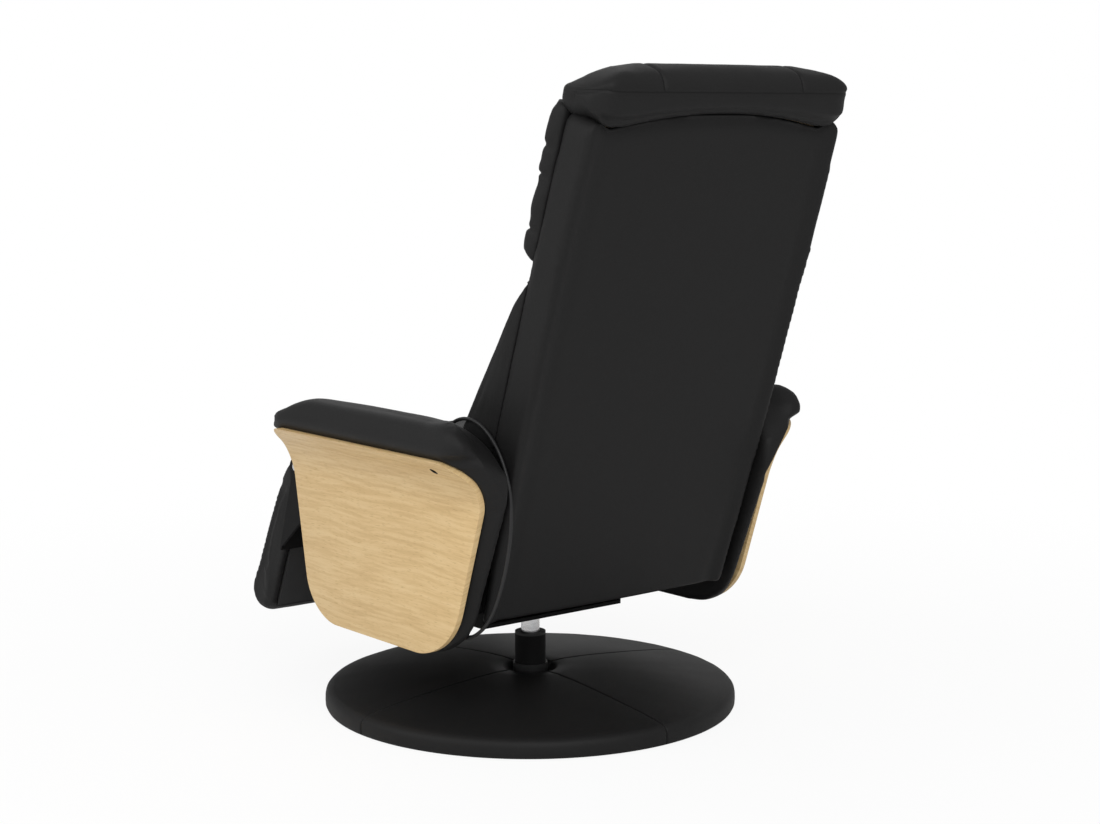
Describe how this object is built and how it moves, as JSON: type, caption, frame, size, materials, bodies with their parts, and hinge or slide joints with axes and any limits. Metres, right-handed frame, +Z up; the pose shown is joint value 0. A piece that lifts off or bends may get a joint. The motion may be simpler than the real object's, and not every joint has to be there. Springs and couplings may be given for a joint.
{
  "type": "massage recliner",
  "caption": "Swivelling recliner with bentwood arm panels, leather cushions, a linked footrest, vibration motors in the back and seat, and a corded hand control.",
  "frame": {"origin": "floor level, at the centre of the round base, on the swivel axis", "axes": "+Z up, the sitter faces -Y, +X on the sitter's left"},
  "size_m": [0.7068, 0.9287, 1.0163],
  "materials": {
    "leather": "soft grained black leather over foam",
    "leather_panel": "black leather stretched over a thin board",
    "lining": "black lining cloth over plywood",
    "oak": "clear-lacquered oak veneer on bent plywood",
    "board": "plain plywood",
    "steel": "dark painted steel",
    "black_metal": "black powder coat",
    "bright_steel": "ground steel",
    "bolt": "zinc plated",
    "collar": "moulded",
    "nylon": "bearing nylon",
    "glide": "matt rubber",
    "black_plastic": "moulded",
    "handset": "fine textured",
    "button": "satin",
    "button_red": "satin",
    "cable": "smooth black cable sheath",
    "rotor": "sintered"
  },
  "bodies": {
    "base": {"base_glides": "glide", "base_plate": "steel", "base_cover": "leather", "column_tube": "black_metal", "column_bolts": "bolt", "column_collar": "collar", "swivel_bush": "nylon", "thrust_washer": "nylon"},
    "chair": {"spindle": "bright_steel", "swivel_bracket": "black_metal", "bracket_bolts": "bolt", "cross_bars": "black_metal", "chassis_plates": "black_metal", "pivot_pins": "bright_steel", "seat_side_boards": "board", "seat_end_boards": "board", "seat_deck": "board", "seat_cushion": "leather", "arm_boards": "board", "arm_bolts": "bolt", "arm_screws": "bolt", "arm_pad_left": "leather", "arm_pad_right": "leather", "arm_panel_left": "oak", "arm_panel_right": "oak", "control_box": "black_plastic", "power_inlet": "black_plastic", "cord_gland": "black_plastic", "handset_lower_shell": "handset", "handset_upper_shell": "handset", "handset_relief": "cable", "control_cord": "cable", "seat_motors": "black_plastic"},
    "backrest": {"back_panel": "leather_panel", "back_uprights": "board", "back_cross_rails": "board", "back_support": "board", "upper_cushion": "leather", "lumbar_cushion": "leather", "headrest_cap": "leather", "back_brackets": "black_metal", "rear_link_pins": "bright_steel", "side_band_left": "leather", "side_band_right": "leather", "wing_left": "leather", "wing_right": "leather", "back_motors": "black_plastic"},
    "footrest": {"footrest_board": "lining", "footrest_pad": "leather", "footrest_levers": "black_metal", "front_link_pins": "bright_steel"},
    "links": {"drive_links": "black_metal"},
    "seat_rotor_pair": {"seat_rotors": "rotor"},
    "upper_rotor_pair": {"back_rotors_upper": "rotor"},
    "lower_rotor_pair": {"back_rotors_lower": "rotor"},
    "button_power_cap": {"button_power": "button_red"},
    "button_mode_cap": {"button_mode": "button"},
    "button_speed_cap": {"button_speed": "button"},
    "button_heat_cap": {"button_heat": "button"}
  },
  "joints": [
    {"name": "swivel", "type": "hinge", "parent": "base", "child": "chair", "pos_m": [0, 0, 0.1], "axis": [0, 0, 1], "continuous": true},
    {"name": "recline", "type": "hinge", "parent": "chair", "child": "backrest", "pos_m": [0, 0.15, 0.34], "axis": [-1, 0, 0], "range_deg": [0, 35]},
    {"name": "footrest_lift", "type": "hinge", "parent": "chair", "child": "footrest", "pos_m": [0, -0.3, 0.372], "axis": [-1, 0, 0], "range_deg": [0, 65]},
    {"name": "link_swing", "type": "hinge", "parent": "backrest", "child": "links", "pos_m": [0, 0.17507, 0.22204], "axis": [-1, 0, 0], "range_deg": [-35, 0]},
    {"name": "seat_motor_spin", "type": "hinge", "parent": "chair", "child": "seat_rotor_pair", "pos_m": [0, -0.11, 0.324], "axis": [1, 0, 0], "continuous": true},
    {"name": "upper_motor_spin", "type": "hinge", "parent": "backrest", "child": "upper_rotor_pair", "pos_m": [0, 0.34391, 0.78029], "axis": [1, 0, 0], "continuous": true},
    {"name": "lower_motor_spin", "type": "hinge", "parent": "backrest", "child": "lower_rotor_pair", "pos_m": [0, 0.25927, 0.5239], "axis": [1, 0, 0], "continuous": true},
    {"name": "press_power", "type": "slide", "parent": "chair", "child": "button_power_cap", "axis": [-0.0739, 0, -0.9973], "range_m": [0, 0.0012], "stiffness_N_per_m": 600, "springref_m": -0.0005},
    {"name": "press_mode", "type": "slide", "parent": "chair", "child": "button_mode_cap", "axis": [-0.0739, 0, -0.9973], "range_m": [0, 0.0012], "stiffness_N_per_m": 600, "springref_m": -0.0005},
    {"name": "press_speed", "type": "slide", "parent": "chair", "child": "button_speed_cap", "axis": [-0.0739, 0, -0.9973], "range_m": [0, 0.0012], "stiffness_N_per_m": 600, "springref_m": -0.0005},
    {"name": "press_heat", "type": "slide", "parent": "chair", "child": "button_heat_cap", "axis": [-0.0739, 0, -0.9973], "range_m": [0, 0.0012], "stiffness_N_per_m": 600, "springref_m": -0.0005}
  ],
  "couplings": [
    {"joint": "footrest_lift", "follows": "recline", "ratio": 1.8571},
    {"joint": "link_swing", "follows": "recline", "ratio": -1}
  ]
}
